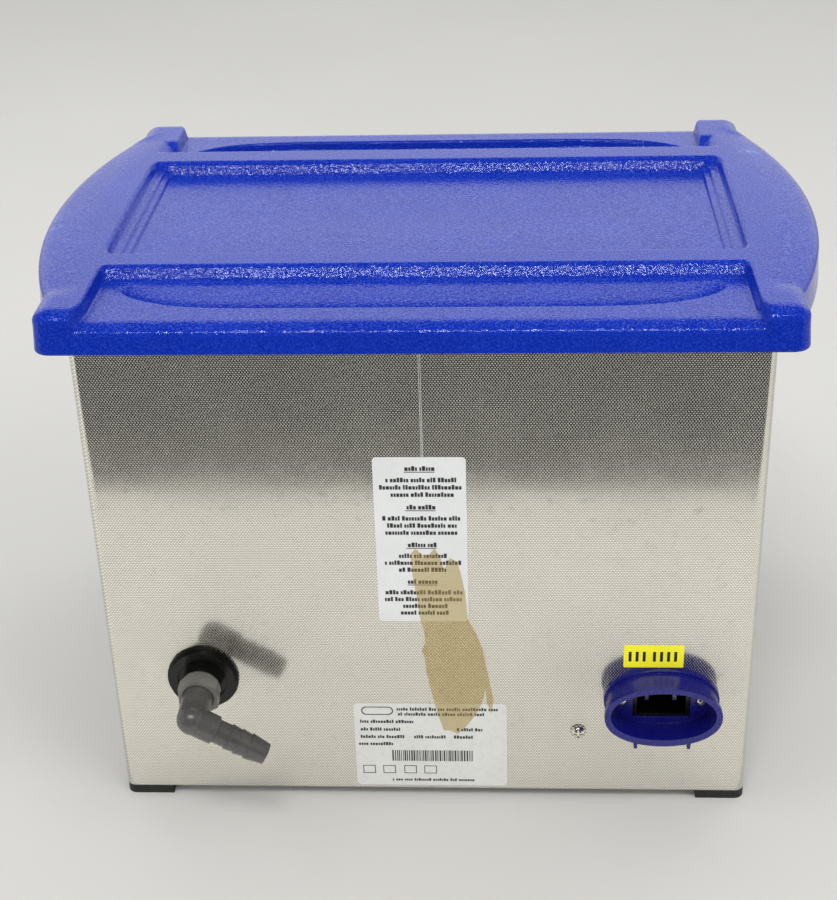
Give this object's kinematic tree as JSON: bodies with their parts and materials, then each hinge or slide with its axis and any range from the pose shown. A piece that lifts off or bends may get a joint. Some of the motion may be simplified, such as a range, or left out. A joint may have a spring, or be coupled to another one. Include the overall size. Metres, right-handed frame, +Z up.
{
  "type": "ultrasonic cleaner",
  "caption": "Heated bench-top ultrasonic cleaner: a steel housing round a tank, with a winged lift-off lid, a rear drain elbow and a hooded mains inlet.",
  "frame": {"origin": "under the middle of the steel housing, on the bench that the four feet stand on", "axes": "+Z up; -Y is the front with the controls, +Y the rear with the drain and the mains inlet; +X the side with the drain tap's knob"},
  "size_m": [0.39, 0.3111, 0.284],
  "materials": {
    "blue_plastic": "textured, satin",
    "embossed_steel": "fine embossed dots, bright",
    "tank_steel": "smooth drawn stainless",
    "zinc": "bright zinc plate",
    "foot_rubber": "matt",
    "black_plastic": "fine moulded texture",
    "gloss_black": "glossy moulded",
    "silicone_seal": "matt",
    "silicone_orange": "woven silicone",
    "brass": "turned",
    "nickel": "bright",
    "aluminium": "turned",
    "ceramic": "fired ceramic with silvered faces",
    "turned_steel": "turned",
    "black_oxide": "black oxide",
    "ptfe": "waxy",
    "grey_plastic": "satin, moulded",
    "chrome": "polished",
    "navy_plastic": "glossy moulded",
    "panel_blue": "fine moulded texture",
    "foil": "printed polyester foil",
    "lens": "clear green",
    "knob_blue": "satin moulded",
    "cream_plastic": "moulded",
    "key_grey": "satin",
    "circuit_board": "solder mask",
    "ferrite": "sintered, with wound copper",
    "capacitor_sleeve": "shrunk sleeve",
    "wire_red": "silicone insulation",
    "label_white": "printed film",
    "label_silver": "printed film",
    "label_yellow": "printed film"
  },
  "bodies": {
    "cleaner": {"housing_shell": "embossed_steel", "seam_strap": "tank_steel", "bottom_plate": "tank_steel", "foot_front_left": "foot_rubber", "foot_front_right": "foot_rubber", "foot_rear_left": "foot_rubber", "foot_rear_right": "foot_rubber", "foot_screws": "zinc", "tank": "tank_steel", "rim_seal": "silicone_seal", "handle_left": "black_plastic", "handle_right": "black_plastic", "handle_screws": "zinc", "heater_pads": "silicone_orange", "temperature_sensor": "brass", "thermal_cutout": "black_plastic", "transducer_front_masses": "aluminium", "piezo_rings": "ceramic", "transducer_back_masses": "turned_steel", "transducer_bolts": "black_oxide", "drain_pipe": "tank_steel", "valve_body": "brass", "valve_seats": "ptfe", "valve_end_cap": "brass", "drain_bezel": "gloss_black", "lock_ring": "chrome", "union_nut": "grey_plastic", "inlet_socket": "gloss_black", "inlet_pins": "nickel", "inlet_shroud": "navy_plastic", "inlet_screws": "nickel", "earth_screw": "nickel", "control_panel": "panel_blue", "panel_foil": "foil", "status_lenses": "lens", "timer_mechanism": "cream_plastic", "temperature_control": "black_plastic", "control_board": "circuit_board", "generator_board": "circuit_board", "board_standoffs": "brass", "heatsink": "aluminium", "output_transformer": "ferrite", "board_capacitors": "capacitor_sleeve", "mains_filter": "zinc", "wiring": "wire_red", "notice_label": "label_white", "rating_plate": "label_silver", "voltage_label": "label_yellow"},
    "lid": {"lid": "blue_plastic"},
    "timer": {"timer_knob": "knob_blue", "timer_shaft": "zinc"},
    "temperature": {"temperature_knob": "knob_blue", "temperature_shaft": "zinc"},
    "power": {"power_key": "key_grey"},
    "degas": {"degas_key": "key_grey"},
    "drain_valve": {"valve_ball": "nickel", "valve_stem": "zinc", "drain_knob": "black_plastic"},
    "elbow": {"hose_elbow": "grey_plastic"}
  },
  "joints": [
    {"name": "lid_lift", "type": "slide", "parent": "cleaner", "child": "lid", "axis": [0, 0, 1], "range_m": [0, 0.2]},
    {"name": "timer_turn", "type": "hinge", "parent": "cleaner", "child": "timer", "pos_m": [-0.092, -0.127, 0.06], "axis": [0, 1, 0], "range_deg": [0, 300]},
    {"name": "temperature_turn", "type": "hinge", "parent": "cleaner", "child": "temperature", "pos_m": [0.092, -0.127, 0.06], "axis": [0, 1, 0], "range_deg": [0, 270]},
    {"name": "power_press", "type": "slide", "parent": "cleaner", "child": "power", "axis": [0, 1, 0], "range_m": [0, 0.0012], "stiffness_N_per_m": 500, "springref_m": -0.0006},
    {"name": "degas_press", "type": "slide", "parent": "cleaner", "child": "degas", "axis": [0, 1, 0], "range_m": [0, 0.0012], "stiffness_N_per_m": 500, "springref_m": -0.0006},
    {"name": "drain_turn", "type": "hinge", "parent": "cleaner", "child": "drain_valve", "pos_m": [0.115, 0.03, 0.0763], "axis": [1, 0, 0], "range_deg": [0, 90]},
    {"name": "elbow_swivel", "type": "hinge", "parent": "cleaner", "child": "elbow", "pos_m": [0.115, 0.14, 0.0763], "axis": [0, 1, 0], "range_deg": [-90, 90]}
  ]
}
